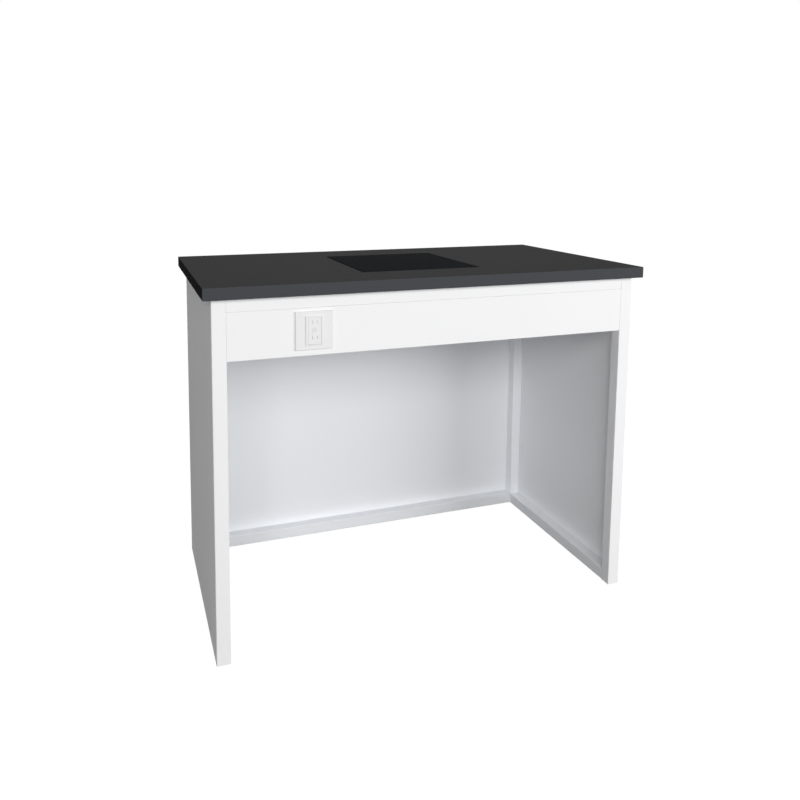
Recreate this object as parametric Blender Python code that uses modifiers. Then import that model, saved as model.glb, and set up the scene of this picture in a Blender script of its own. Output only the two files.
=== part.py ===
"""Balance table: a white steel base, a black resin worktop and an isolated slab that carries the balance.

The origin is on the floor under the middle of the worktop. X runs to the right, Y to the back, Z up.
"""

import math

import bmesh
import bpy
from mathutils import Vector

# Overall sizes, in metres
WORKTOP_WIDTH = 1.2192
WORKTOP_DEPTH = 0.6096
WORKTOP_THICKNESS = 0.030
TABLE_HEIGHT = 0.9398
SIDE_OVERHANG = 0.0216
FRONT_OVERHANG = 0.019
REAR_OVERHANG = 0.0216
WORKTOP_EDGE = 0.0015

# Fits between pieces
SEAT_GAP = 0.0003
SEAM_GAP = 0.0003

# Sheet and tube
SHEET = 0.0012
TUBE_WALL = 0.0015
BEND_RADIUS = 0.0022
BEND_STEPS = 3
CRISP_EDGE = 0.0004

# Ends of the base
END_WIDTH = 0.035
FRONT_POST_DEPTH = 0.032
REAR_POST_DEPTH = 0.0336
BOTTOM_RAIL_HEIGHT = 0.035
TOP_RAIL_HEIGHT = 0.038

# Front of the base
FRONT_RAIL_HEIGHT = 0.0322
FRONT_RAIL_DEPTH = 0.0254
APRON_HEIGHT = 0.1178
BRACKET_LEG = 0.025
BRACKET_HEIGHT = 0.08

# Balance slab and what carries it
CUTOUT = 0.346
SLAB_GAP = 0.003
SLAB_THICKNESS = 0.0635
SLAB_EDGE = 0.001
ISOLATOR_HEIGHT = 0.0254
ISOLATOR_RADIUS = 0.019
ISOLATOR_WAIST = 0.0155
ISOLATOR_CAP = 0.004
ISOLATOR_INSET = 0.05
CRADLE_PLATE = 0.003
CRADLE_CLEARANCE = 0.012
CRADLE_TOP_GAP = 0.005
SUPPORT_RAIL_WIDTH = 0.0254
SUPPORT_RAIL_HEIGHT = 0.0508
CRADLE_BOLT_RADIUS = 0.004
CRADLE_BOLT_HEAD_RADIUS = 0.0075
CRADLE_BOLT_HEAD = 0.0053
CRADLE_BOLT_LENGTH = 0.014
CRADLE_BOLT_INSET = 0.06

# Outlet on the apron
OUTLET_INSET = 0.213
OUTLET_RISE = 0.003
COVER_SIZE = 0.0953
COVER_PROUD = 0.0045
COVER_WALL = 0.0015
COVER_EDGE = 0.002
BEZEL_WIDTH = 0.0445
BEZEL_HEIGHT = 0.0725
BEZEL_PROUD = 0.0025
BEZEL_EDGE = 0.0006
FACE_WIDTH = 0.0333
FACE_HEIGHT = 0.0667
FACE_CLEARANCE = 0.0003
FACE_EDGE = 0.0008
YOKE_WIDTH = 0.046
YOKE_LENGTH = 0.088
YOKE_PLATE = 0.0013
YOKE_SCREW_SPACING = 0.0772
YOKE_SCREW_RADIUS = 0.0017
YOKE_SCREW_HEAD_RADIUS = 0.0033
YOKE_SCREW_HEAD = 0.002
YOKE_SCREW_LENGTH = 0.008
HOUSING_WIDTH = 0.042
HOUSING_HEIGHT = 0.072
HOUSING_DEPTH = 0.026
SOCKET_PITCH = 0.039
SOCKET_RISE = 0.003
SLOT_SPACING = 0.0127
SLOT_WIDTH = 0.0022
SLOT_DEPTH = 0.014
LEFT_SLOT_HEIGHT = 0.0088
RIGHT_SLOT_HEIGHT = 0.0072
EARTH_HOLE_RADIUS = 0.0027
EARTH_HOLE_DROP = 0.0119
BUTTON_WIDTH = 0.0092
BUTTON_HEIGHT = 0.0048
BUTTON_PITCH = 0.0062
BUTTON_LENGTH = 0.009
BUTTON_PROUD = 0.0009
BUTTON_TRAVEL = 0.0012
BUTTON_EDGE = 0.0004
BOX_CLEARANCE = 0.0006
BOX_DEPTH = 0.048
GLAND_RADIUS = 0.0105
GLAND_BORE_RADIUS = 0.0045
GLAND_FLANGE_RADIUS = 0.015
GLAND_FLANGE = 0.005
GLAND_NOSE = 0.010
GLAND_NUT = 0.004
GLAND_NUT_RADIUS = 0.014
GLAND_TAIL = 0.0015

# Levelling feet inside the posts
FOOT_RECESS = 0.0005
FOOT_PAD_CLEARANCE = 0.002
FOOT_PAD_THICKNESS = 0.006
FOOT_STUD_RADIUS = 0.005
FOOT_STUD_LENGTH = 0.045
INSERT_RISE = 0.001
INSERT_HEIGHT = 0.020

# Facets of round pieces, and how close two things count as one
ROUND_STEPS = 24
HOLE_STEPS = 16
SMOOTH_ANGLE = math.radians(40)
MERGE_DISTANCE = 0.00001
OPEN_SIDE_ANGLE = math.radians(5)

# Places worked out from the sizes above
X_OUTER = WORKTOP_WIDTH / 2 - SIDE_OVERHANG
X_INNER = X_OUTER - END_WIDTH
X_SKIN = X_OUTER - SHEET - SEAT_GAP
Y_FRONT = -WORKTOP_DEPTH / 2 + FRONT_OVERHANG
Y_REAR = WORKTOP_DEPTH / 2 - REAR_OVERHANG
Y_BACK_FRAME = Y_REAR - REAR_POST_DEPTH
Y_BEHIND_FRONT_RAIL = Y_FRONT + FRONT_RAIL_DEPTH
Z_WORKTOP = TABLE_HEIGHT - WORKTOP_THICKNESS
Z_BASE = Z_WORKTOP - SEAT_GAP
Z_FRONT_RAIL = Z_BASE - FRONT_RAIL_HEIGHT
Z_APRON_TOP = Z_FRONT_RAIL - SEAM_GAP
Z_APRON = Z_APRON_TOP - APRON_HEIGHT
SLAB_SIZE = CUTOUT - 2 * SLAB_GAP
Z_SLAB = TABLE_HEIGHT - SLAB_THICKNESS
Z_ISOLATOR = Z_SLAB - SEAT_GAP - ISOLATOR_HEIGHT
Z_CRADLE_FLOOR = Z_ISOLATOR - SEAT_GAP
X_CRADLE = SLAB_SIZE / 2 + CRADLE_CLEARANCE + CRADLE_PLATE
X_SUPPORT_RAIL = X_CRADLE + SEAT_GAP
OUTLET_X = -X_INNER + OUTLET_INSET
Z_OUTLET = (Z_APRON + Z_APRON_TOP) / 2 + OUTLET_RISE
Y_APRON_BACK = Y_FRONT + SHEET + SEAT_GAP
Y_FACE = Y_FRONT - COVER_PROUD - BEZEL_PROUD
Y_HOUSING = Y_APRON_BACK + YOKE_PLATE + SEAT_GAP
Y_HOUSING_REAR = Y_HOUSING + HOUSING_DEPTH
Y_BOX_REAR = Y_APRON_BACK + BOX_DEPTH

ENDS = {"left": -1, "right": 1}
ROWS = {"front": -1, "rear": 1}
LEVELS = {"lower": -1, "upper": 1}
RAIL_SPANS = {
    "bottom": (0, BOTTOM_RAIL_HEIGHT),
    "top": (Z_BASE - TOP_RAIL_HEIGHT, Z_BASE),
}


def clear_scene():
    for obj in list(bpy.data.objects):
        bpy.data.objects.remove(obj, do_unlink=True)


def new_collection(name):
    collection = bpy.data.collections.new(name)
    bpy.context.scene.collection.children.link(collection)
    return collection


def new_finish(name, colour, roughness, metallic=0.0):
    material = bpy.data.materials.new(name)
    material.use_nodes = True
    shader = material.node_tree.nodes["Principled BSDF"]
    shader.inputs["Base Color"].default_value = (*colour, 1.0)
    shader.inputs["Roughness"].default_value = roughness
    shader.inputs["Metallic"].default_value = metallic
    material.diffuse_color = (*colour, 1.0)
    return material


clear_scene()
PARTS = new_collection("balance_table")
CUTTERS = new_collection("cutters")

WHITE_COAT = new_finish("white_powder_coat", (0.83, 0.84, 0.85), 0.45)
BLACK_RESIN = new_finish("black_epoxy_resin", (0.045, 0.045, 0.046), 0.55)
BLACK_STONE = new_finish("black_granite", (0.014, 0.016, 0.018), 0.4)
ZINC = new_finish("zinc_plated_steel", (0.55, 0.56, 0.57), 0.35, 1.0)
RUBBER = new_finish("isolator_rubber", (0.02, 0.02, 0.02), 0.8)
DEVICE_WHITE = new_finish("white_moulded_plastic", (0.80, 0.80, 0.79), 0.4)
GLAND_GREY = new_finish("grey_nylon", (0.16, 0.16, 0.17), 0.5)


def add_object(name, mesh, centre, material=None):
    """A part where a material is given, and otherwise a cutter, which is left out of renders."""
    obj = bpy.data.objects.new(name, mesh)
    obj.location = centre
    if material:
        mesh.materials.append(material)
        PARTS.objects.link(obj)
    else:
        CUTTERS.objects.link(obj)
        obj.hide_render = True
        obj.display_type = "WIRE"
    return obj


def mesh_from(shape, name):
    mesh = bpy.data.meshes.new(name)
    shape.to_mesh(mesh)
    shape.free()
    return mesh


def block(name, low, high, material=None, open_sides=()):
    """A box between two corners, without the faces whose outward directions are in open_sides."""
    low, high = Vector(low), Vector(high)
    shape = bmesh.new()
    bmesh.ops.create_cube(shape, size=1.0)
    bmesh.ops.scale(shape, vec=high - low, verts=shape.verts)
    shape.normal_update()
    gone = [
        face
        for face in shape.faces
        if any(face.normal.angle(side) < OPEN_SIDE_ANGLE for side in open_sides)
    ]
    bmesh.ops.delete(shape, geom=gone, context="FACES")
    return add_object(name, mesh_from(shape, name), (low + high) / 2, material)


def round_edges(obj, radius, steps=2):
    bevel = obj.modifiers.new("rounded_edges", "BEVEL")
    bevel.width = radius
    bevel.segments = steps
    bevel.limit_method = "ANGLE"
    bevel.use_clamp_overlap = True


def add_wall(obj, thickness):
    wall = obj.modifiers.new("gauge", "SOLIDIFY")
    wall.thickness = thickness
    wall.offset = -1.0
    wall.use_even_offset = True


def folded_sheet(name, low, high, open_sides, thickness, material, bend=BEND_RADIUS):
    """Sheet metal folded round a box. Its outside lies on the box, and the open sides have no wall."""
    obj = block(name, low, high, material, [Vector(side) for side in open_sides])
    round_edges(obj, max(bend, thickness), BEND_STEPS)
    add_wall(obj, thickness)
    return obj


def crisp_sheet(name, low, high, open_sides, thickness):
    """Sheet metal with sharp corners, so that a neighbour lies level with it along a fine seam."""
    obj = block(name, low, high, WHITE_COAT, [Vector(side) for side in open_sides])
    add_wall(obj, thickness)
    round_edges(obj, CRISP_EDGE, 1)
    return obj


def tube(name, low, high, axis):
    """Rectangular steel tube, open at both ends of the axis."""
    along = Vector(axis)
    return folded_sheet(name, low, high, [along, -along], TUBE_WALL, WHITE_COAT)


def turn_to(obj, axis):
    obj.rotation_euler = Vector((0, 0, 1)).rotation_difference(Vector(axis)).to_euler()


def rod(name, centre, radius, length, axis, material=None, steps=HOLE_STEPS):
    """Cylinder about its own middle, along the axis."""
    shape = bmesh.new()
    bmesh.ops.create_cone(
        shape, cap_ends=True, segments=steps, radius1=radius, radius2=radius, depth=length
    )
    obj = add_object(name, mesh_from(shape, name), Vector(centre), material)
    turn_to(obj, axis)
    return obj


def turned(name, profile, centre, axis, material, ring=False):
    """A profile of radius and height, listed down its outer side, turned about the axis through centre."""
    shape = bmesh.new()
    points = [shape.verts.new((radius, 0, height)) for radius, height in profile]
    for first, second in zip(points, points[1:]):
        shape.edges.new((first, second))
    if ring:
        shape.edges.new((points[-1], points[0]))
    obj = add_object(name, mesh_from(shape, name), Vector(centre), material)
    turn = obj.modifiers.new("turn", "SCREW")
    turn.axis = "Z"
    turn.angle = 2 * math.pi
    turn.steps = ROUND_STEPS
    turn.render_steps = ROUND_STEPS
    turn.use_merge_vertices = True
    turn.merge_threshold = MERGE_DISTANCE
    shade_round(obj)
    turn_to(obj, axis)
    return obj


def shade_round(obj):
    """The turned shape becomes the mesh itself, smooth round its axis and sharp at the profile's corners."""
    finished = obj.evaluated_get(bpy.context.evaluated_depsgraph_get())
    mesh = bpy.data.meshes.new_from_object(finished)
    mesh.shade_smooth()
    mesh.set_sharp_from_angle(angle=SMOOTH_ANGLE)
    obj.modifiers.clear()
    obj.data = mesh


def boolean(obj, other, operation):
    step = obj.modifiers.new(f"{operation.lower()}_{other.name}", "BOOLEAN")
    step.operation = operation
    step.solver = "EXACT"
    step.object = other


def cut(obj, cutter):
    boolean(obj, cutter, "DIFFERENCE")


def join(obj, other):
    boolean(obj, other, "UNION")


def headed_screw(name, seat, axis, radius, length, head_radius, head_height):
    """A screw with the underside of its head on the seat point and its shank along the axis."""
    profile = [
        (0, length),
        (radius, length),
        (radius, 0),
        (head_radius, 0),
        (head_radius, -head_height),
        (0, -head_height),
    ]
    return turned(name, profile, seat, axis, ZINC)


def make_worktop():
    half = Vector((WORKTOP_WIDTH / 2, WORKTOP_DEPTH / 2, 0))
    worktop = block(
        "worktop",
        (-half.x, -half.y, Z_WORKTOP),
        (half.x, half.y, TABLE_HEIGHT),
        BLACK_RESIN,
    )
    hole = block(
        "worktop_cutout",
        (-CUTOUT / 2, -CUTOUT / 2, Z_WORKTOP - WORKTOP_THICKNESS),
        (CUTOUT / 2, CUTOUT / 2, TABLE_HEIGHT + WORKTOP_THICKNESS),
    )
    cut(worktop, hole)
    round_edges(worktop, WORKTOP_EDGE)


def make_slab():
    half = SLAB_SIZE / 2
    slab = block("balance_slab", (-half, -half, Z_SLAB), (half, half, TABLE_HEIGHT), BLACK_STONE)
    round_edges(slab, SLAB_EDGE)


def make_isolators():
    """Rubber mounts between the slab and its cradle, waisted so that they give a little."""
    place = SLAB_SIZE / 2 - ISOLATOR_INSET
    profile = [
        (0, ISOLATOR_HEIGHT),
        (ISOLATOR_RADIUS, ISOLATOR_HEIGHT),
        (ISOLATOR_RADIUS, ISOLATOR_HEIGHT - ISOLATOR_CAP),
        (ISOLATOR_WAIST, ISOLATOR_HEIGHT / 2),
        (ISOLATOR_RADIUS, ISOLATOR_CAP),
        (ISOLATOR_RADIUS, 0),
        (0, 0),
    ]
    for side, x in ENDS.items():
        for row, y in ROWS.items():
            centre = (x * place, y * place, Z_ISOLATOR)
            turned(f"isolator_{row}_{side}", profile, centre, (0, 0, 1), RUBBER)


def make_cradle():
    """Steel tray under the slab, bolted between the two support rails."""
    depth = SLAB_SIZE / 2
    cradle = folded_sheet(
        "slab_cradle",
        (-X_CRADLE, -depth, Z_CRADLE_FLOOR - CRADLE_PLATE),
        (X_CRADLE, depth, Z_BASE - CRADLE_TOP_GAP),
        [(0, 0, 1), (0, 1, 0), (0, -1, 0)],
        CRADLE_PLATE,
        ZINC,
    )
    height = Z_BASE - SUPPORT_RAIL_HEIGHT / 2
    for side, x in ENDS.items():
        inner, outer = sorted((x * X_SUPPORT_RAIL, x * (X_SUPPORT_RAIL + SUPPORT_RAIL_WIDTH)))
        rail = tube(
            f"support_rail_{side}",
            (inner, Y_BEHIND_FRONT_RAIL + SEAT_GAP, Z_BASE - SUPPORT_RAIL_HEIGHT),
            (outer, Y_BACK_FRAME - SEAT_GAP, Z_BASE),
            (0, 1, 0),
        )
        for row, y in ROWS.items():
            name = f"cradle_bolt_{row}_{side}"
            wall = X_CRADLE - CRADLE_PLATE - SEAT_GAP
            seat = Vector((x * wall, y * (depth - CRADLE_BOLT_INSET), height))
            headed_screw(
                name,
                seat,
                (x, 0, 0),
                CRADLE_BOLT_RADIUS,
                CRADLE_BOLT_LENGTH,
                CRADLE_BOLT_HEAD_RADIUS,
                CRADLE_BOLT_HEAD,
            )
            hole = rod(
                f"{name}_hole",
                (x * X_SUPPORT_RAIL, seat.y, height),
                CRADLE_BOLT_RADIUS + SEAT_GAP,
                2 * (CRADLE_PLATE + TUBE_WALL + SEAT_GAP),
                (1, 0, 0),
            )
            cut(cradle, hole)
            cut(rail, hole)


def make_end(side, x):
    """One end of the base: a skin folded round the posts, with rails between them."""

    def span(inner, outer):
        return sorted((x * inner, x * outer))

    skin_low, skin_high = span(X_INNER, X_OUTER)
    folded_sheet(
        f"{side}_end_skin",
        (skin_low, Y_FRONT, 0),
        (skin_high, Y_REAR, Z_BASE),
        [(-x, 0, 0), (0, 0, 1), (0, 0, -1)],
        SHEET,
        WHITE_COAT,
    )
    low, high = span(X_INNER, X_SKIN)
    front = (Y_FRONT + SHEET + SEAT_GAP, Y_FRONT + FRONT_POST_DEPTH)
    rear = (Y_REAR - REAR_POST_DEPTH, Y_REAR - SHEET - SEAT_GAP)
    for row, (near, far) in {"front": front, "rear": rear}.items():
        tube(f"{side}_{row}_post", (low, near, 0), (high, far, Z_BASE), (0, 0, 1))
        make_foot(f"{row}_{side}", (low, near), (high, far))
    for place, (foot, head) in RAIL_SPANS.items():
        tube(
            f"{side}_end_{place}_rail",
            (low, front[1] + SEAT_GAP, foot),
            (high, rear[0] - SEAT_GAP, head),
            (0, 1, 0),
        )


def make_foot(place, low, high):
    """Levelling foot, wound fully up into its post, and the threaded insert that holds it."""
    inside = TUBE_WALL + SEAT_GAP
    middle = Vector(((low[0] + high[0]) / 2, (low[1] + high[1]) / 2, FOOT_RECESS))
    width = min(high[0] - low[0], high[1] - low[1])
    pad_radius = width / 2 - TUBE_WALL - FOOT_PAD_CLEARANCE
    stud_top = FOOT_PAD_THICKNESS + FOOT_STUD_LENGTH
    profile = [
        (0, stud_top),
        (FOOT_STUD_RADIUS, stud_top),
        (FOOT_STUD_RADIUS, FOOT_PAD_THICKNESS),
        (pad_radius, FOOT_PAD_THICKNESS),
        (pad_radius, 0),
        (0, 0),
    ]
    turned(f"levelling_foot_{place}", profile, middle, (0, 0, 1), ZINC)
    seat = FOOT_RECESS + FOOT_PAD_THICKNESS + INSERT_RISE
    insert = block(
        f"foot_insert_{place}",
        (low[0] + inside, low[1] + inside, seat),
        (high[0] - inside, high[1] - inside, seat + INSERT_HEIGHT),
        ZINC,
    )
    hole = rod(
        f"foot_insert_{place}_hole",
        (middle.x, middle.y, seat + INSERT_HEIGHT / 2),
        FOOT_STUD_RADIUS + SEAT_GAP,
        2 * INSERT_HEIGHT,
        (0, 0, 1),
        steps=ROUND_STEPS,
    )
    cut(insert, hole)


def make_back():
    half = X_INNER - SEAT_GAP
    block("back_skin", (-half, Y_REAR - SHEET, 0), (half, Y_REAR, Z_BASE), WHITE_COAT)
    rear = Y_REAR - SHEET - SEAT_GAP
    for place, (foot, head) in RAIL_SPANS.items():
        tube(f"back_{place}_rail", (-half, Y_BACK_FRAME, foot), (half, rear, head), (1, 0, 0))


def make_front():
    """Rail under the worktop's front edge, with the apron panel below it, both level with the leg faces."""
    half = X_INNER - SEAM_GAP
    cut_ends = [(1, 0, 0), (-1, 0, 0)]
    crisp_sheet(
        "front_top_rail",
        (-half, Y_FRONT, Z_FRONT_RAIL),
        (half, Y_BEHIND_FRONT_RAIL, Z_BASE),
        cut_ends,
        TUBE_WALL,
    )
    apron = crisp_sheet(
        "apron_panel",
        (-half, Y_FRONT, Z_APRON),
        (half, Y_BEHIND_FRONT_RAIL, Z_APRON_TOP),
        [(0, 1, 0), *cut_ends],
        SHEET,
    )
    reach = X_INNER - SEAT_GAP
    for side, x in ENDS.items():
        low, high = sorted((x * (reach - BRACKET_LEG), x * reach))
        folded_sheet(
            f"apron_bracket_{side}",
            (low, Y_APRON_BACK, Z_OUTLET - BRACKET_HEIGHT / 2),
            (high, Y_APRON_BACK + BRACKET_LEG, Z_OUTLET + BRACKET_HEIGHT / 2),
            [(0, 1, 0), (-x, 0, 0), (0, 0, 1), (0, 0, -1)],
            TUBE_WALL,
            WHITE_COAT,
        )
    return apron


def about_outlet(width, height, near, far):
    """Two corners of a box centred on the outlet, from the near depth to the far one."""
    low = (OUTLET_X - width / 2, near, Z_OUTLET - height / 2)
    high = (OUTLET_X + width / 2, far, Z_OUTLET + height / 2)
    return low, high


def make_outlet(apron):
    face_opening = (FACE_WIDTH + 2 * FACE_CLEARANCE, FACE_HEIGHT + 2 * FACE_CLEARANCE)
    opening = block("face_opening", *about_outlet(*face_opening, Y_FACE - BOX_DEPTH, Y_BOX_REAR))
    cut(apron, opening)
    make_cover(opening)
    yoke = block(
        "receptacle_yoke",
        *about_outlet(YOKE_WIDTH, YOKE_LENGTH, Y_APRON_BACK, Y_APRON_BACK + YOKE_PLATE),
        ZINC,
    )
    cut(yoke, opening)
    for place, z in LEVELS.items():
        seat = (OUTLET_X, Y_FRONT - SEAT_GAP, Z_OUTLET + z * YOKE_SCREW_SPACING / 2)
        name = f"yoke_screw_{place}"
        headed_screw(
            name,
            seat,
            (0, 1, 0),
            YOKE_SCREW_RADIUS,
            YOKE_SCREW_LENGTH,
            YOKE_SCREW_HEAD_RADIUS,
            YOKE_SCREW_HEAD,
        )
        hole = rod(
            f"{name}_hole",
            seat,
            YOKE_SCREW_RADIUS + SEAT_GAP,
            2 * YOKE_SCREW_LENGTH,
            (0, 1, 0),
        )
        cut(apron, hole)
        cut(yoke, hole)
    make_receptacle()
    make_box()


def make_cover(opening):
    cover = folded_sheet(
        "outlet_cover",
        *about_outlet(COVER_SIZE, COVER_SIZE, Y_FRONT - COVER_PROUD, Y_FRONT - SEAT_GAP),
        [(0, 1, 0)],
        COVER_WALL,
        DEVICE_WHITE,
        COVER_EDGE,
    )
    bezel = block(
        "bezel_shape",
        *about_outlet(BEZEL_WIDTH, BEZEL_HEIGHT, Y_FACE, Y_FRONT - COVER_PROUD + COVER_WALL / 2),
    )
    round_edges(bezel, BEZEL_EDGE)
    join(cover, bezel)
    cut(cover, opening)


def make_receptacle():
    """Duplex socket with its test and reset buttons between the two sets of slots."""
    receptacle = block(
        "receptacle", *about_outlet(FACE_WIDTH, FACE_HEIGHT, Y_FACE, Y_HOUSING + SHEET), DEVICE_WHITE
    )
    round_edges(receptacle, FACE_EDGE)
    housing = block(
        "housing_shape", *about_outlet(HOUSING_WIDTH, HOUSING_HEIGHT, Y_HOUSING, Y_HOUSING_REAR)
    )
    join(receptacle, housing)
    slot_floor = Y_FACE + SLOT_DEPTH
    slots = {"left": (-1, LEFT_SLOT_HEIGHT), "right": (1, RIGHT_SLOT_HEIGHT)}
    for place, z in LEVELS.items():
        row = Z_OUTLET + SOCKET_RISE + z * SOCKET_PITCH / 2
        for side, (x, height) in slots.items():
            middle = OUTLET_X + x * SLOT_SPACING / 2
            slot = block(
                f"{place}_{side}_slot",
                (middle - SLOT_WIDTH / 2, Y_FACE - SLOT_DEPTH, row - height / 2),
                (middle + SLOT_WIDTH / 2, slot_floor, row + height / 2),
            )
            cut(receptacle, slot)
        earth = rod(
            f"{place}_earth_hole",
            (OUTLET_X, Y_FACE, row - EARTH_HOLE_DROP),
            EARTH_HOLE_RADIUS,
            2 * SLOT_DEPTH,
            (0, 1, 0),
        )
        cut(receptacle, earth)
    for name, z in (("test_button", 1), ("reset_button", -1)):
        make_button(receptacle, name, Z_OUTLET + z * BUTTON_PITCH / 2)


def make_button(receptacle, name, height):
    front = Y_FACE - BUTTON_PROUD
    tail = front + BUTTON_LENGTH
    half = Vector((BUTTON_WIDTH / 2, 0, BUTTON_HEIGHT / 2))
    middle = Vector((OUTLET_X, 0, height))
    button = block(
        name,
        middle - half + Vector((0, front, 0)),
        middle + half + Vector((0, tail, 0)),
        DEVICE_WHITE,
    )
    round_edges(button, BUTTON_EDGE)
    room = half + Vector((SEAT_GAP, 0, SEAT_GAP))
    pocket = block(
        f"{name}_pocket",
        middle - room + Vector((0, front - BUTTON_LENGTH, 0)),
        middle + room + Vector((0, tail + BUTTON_TRAVEL + SEAT_GAP, 0)),
    )
    cut(receptacle, pocket)


def make_box():
    """Steel box behind the apron, with a gland for the supply cord in its rear wall."""
    around = 2 * (BOX_CLEARANCE + SHEET)
    box = folded_sheet(
        "outlet_box",
        *about_outlet(YOKE_WIDTH + around, YOKE_LENGTH + around, Y_APRON_BACK, Y_BOX_REAR),
        [(0, -1, 0)],
        SHEET,
        ZINC,
    )
    wall = Vector((OUTLET_X, Y_BOX_REAR, Z_OUTLET))
    knockout = rod(
        "box_knockout",
        wall,
        GLAND_RADIUS + SEAT_GAP,
        2 * (SHEET + SEAT_GAP),
        (0, 1, 0),
        steps=ROUND_STEPS,
    )
    cut(box, knockout)
    inside = -SHEET - SEAT_GAP - GLAND_NUT - GLAND_TAIL
    gland = [
        (GLAND_RADIUS, SEAT_GAP + GLAND_FLANGE + GLAND_NOSE),
        (GLAND_FLANGE_RADIUS, SEAT_GAP + GLAND_FLANGE),
        (GLAND_FLANGE_RADIUS, SEAT_GAP),
        (GLAND_RADIUS, SEAT_GAP),
        (GLAND_RADIUS, inside),
        (GLAND_BORE_RADIUS, inside),
        (GLAND_BORE_RADIUS, SEAT_GAP + GLAND_FLANGE + GLAND_NOSE),
    ]
    turned("cable_gland", gland, wall, (0, 1, 0), GLAND_GREY, ring=True)
    nut = [
        (GLAND_NUT_RADIUS, -SHEET - SEAT_GAP),
        (GLAND_NUT_RADIUS, -SHEET - SEAT_GAP - GLAND_NUT),
        (GLAND_RADIUS + SEAT_GAP, -SHEET - SEAT_GAP - GLAND_NUT),
        (GLAND_RADIUS + SEAT_GAP, -SHEET - SEAT_GAP),
    ]
    turned("gland_nut", nut, wall, (0, 1, 0), ZINC, ring=True)


def main():
    make_worktop()
    make_slab()
    make_isolators()
    make_cradle()
    for side, x in ENDS.items():
        make_end(side, x)
    make_back()
    make_outlet(make_front())


main()
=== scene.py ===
"""Balance table, dressed: a coated base, a resin worktop, a stone slab, an outlet and hardware."""

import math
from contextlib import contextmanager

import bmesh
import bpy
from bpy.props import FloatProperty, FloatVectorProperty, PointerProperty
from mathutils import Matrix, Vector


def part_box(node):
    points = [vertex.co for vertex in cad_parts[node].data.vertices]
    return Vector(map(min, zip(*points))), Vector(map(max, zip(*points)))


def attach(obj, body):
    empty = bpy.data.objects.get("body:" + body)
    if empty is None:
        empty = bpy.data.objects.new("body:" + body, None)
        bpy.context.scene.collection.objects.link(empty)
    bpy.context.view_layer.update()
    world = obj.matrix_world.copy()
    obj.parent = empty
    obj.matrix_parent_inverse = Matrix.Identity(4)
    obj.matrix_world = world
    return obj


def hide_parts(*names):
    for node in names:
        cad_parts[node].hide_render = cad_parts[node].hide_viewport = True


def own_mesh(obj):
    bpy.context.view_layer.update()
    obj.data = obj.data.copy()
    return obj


bl_info = {
    "name": "Balance table",
    "version": (1, 0, 0),
    "blender": (4, 5, 0),
    "location": "3D View > Sidebar > Balance table",
    "description": "Finishes, hardware and a plain stage for a laboratory balance table",
    "category": "Object",
}

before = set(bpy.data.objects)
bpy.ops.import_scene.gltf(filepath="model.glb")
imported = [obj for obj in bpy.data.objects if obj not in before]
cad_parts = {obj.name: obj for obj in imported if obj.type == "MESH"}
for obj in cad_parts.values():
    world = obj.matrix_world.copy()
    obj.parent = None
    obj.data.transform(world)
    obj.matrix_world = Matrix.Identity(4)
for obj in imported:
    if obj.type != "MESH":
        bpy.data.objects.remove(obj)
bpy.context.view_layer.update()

MM = 0.001
MERGE_DISTANCE = 0.002 * MM
SMOOTH_ANGLE = math.radians(35)
FULL_TURN = 2 * math.pi
TIP_READING = 0.5 * MM
RINGS_PER_PITCH = 6
EDGE_SEGMENTS = 2
WORKTOP_SKIN = 0.2 * MM
WHITE = (1, 1, 1, 1)

SIDES = ("left", "right")
ROWS = ("front", "rear")
CORNERS = [f"{row}_{side}" for row in ROWS for side in SIDES]

STEELWORK = [
    *(f"{side}_end_skin" for side in SIDES),
    *(f"{side}_{row}_post" for side in SIDES for row in ROWS),
    *(f"{side}_end_{rail}_rail" for side in SIDES for rail in ("bottom", "top")),
    *(f"support_rail_{side}" for side in SIDES),
    *(f"apron_bracket_{side}" for side in SIDES),
    "back_skin",
    "back_bottom_rail",
    "back_top_rail",
    "front_top_rail",
    "apron_panel",
]
OUTLET_PLASTIC = ["outlet_cover", "receptacle", "test_button", "reset_button"]


def linear(code):
    """The linear colour of an sRGB hex code such as #3c3c3c."""
    shares = [int(code[i : i + 2], 16) / 255 for i in (1, 3, 5)]
    return tuple(s / 12.92 if s <= 0.04045 else ((s + 0.055) / 1.055) ** 2.4 for s in shares)


def colour_setting(name, description, code):
    return FloatVectorProperty(
        name=name, description=description, subtype="COLOR", min=0.0, max=1.0, default=linear(code)
    )


def length_setting(name, description, millimetres):
    return FloatProperty(
        name=name,
        description=description,
        unit="LENGTH",
        min=0.0,
        default=millimetres * MM,
        precision=5,
    )


def angle_setting(name, description, degrees):
    return FloatProperty(
        name=name,
        description=description,
        subtype="ANGLE",
        unit="ROTATION",
        default=math.radians(degrees),
    )


def amount_setting(name, description, amount):
    return FloatProperty(name=name, description=description, min=0.0, default=amount)


# Settings that a user would change


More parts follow.
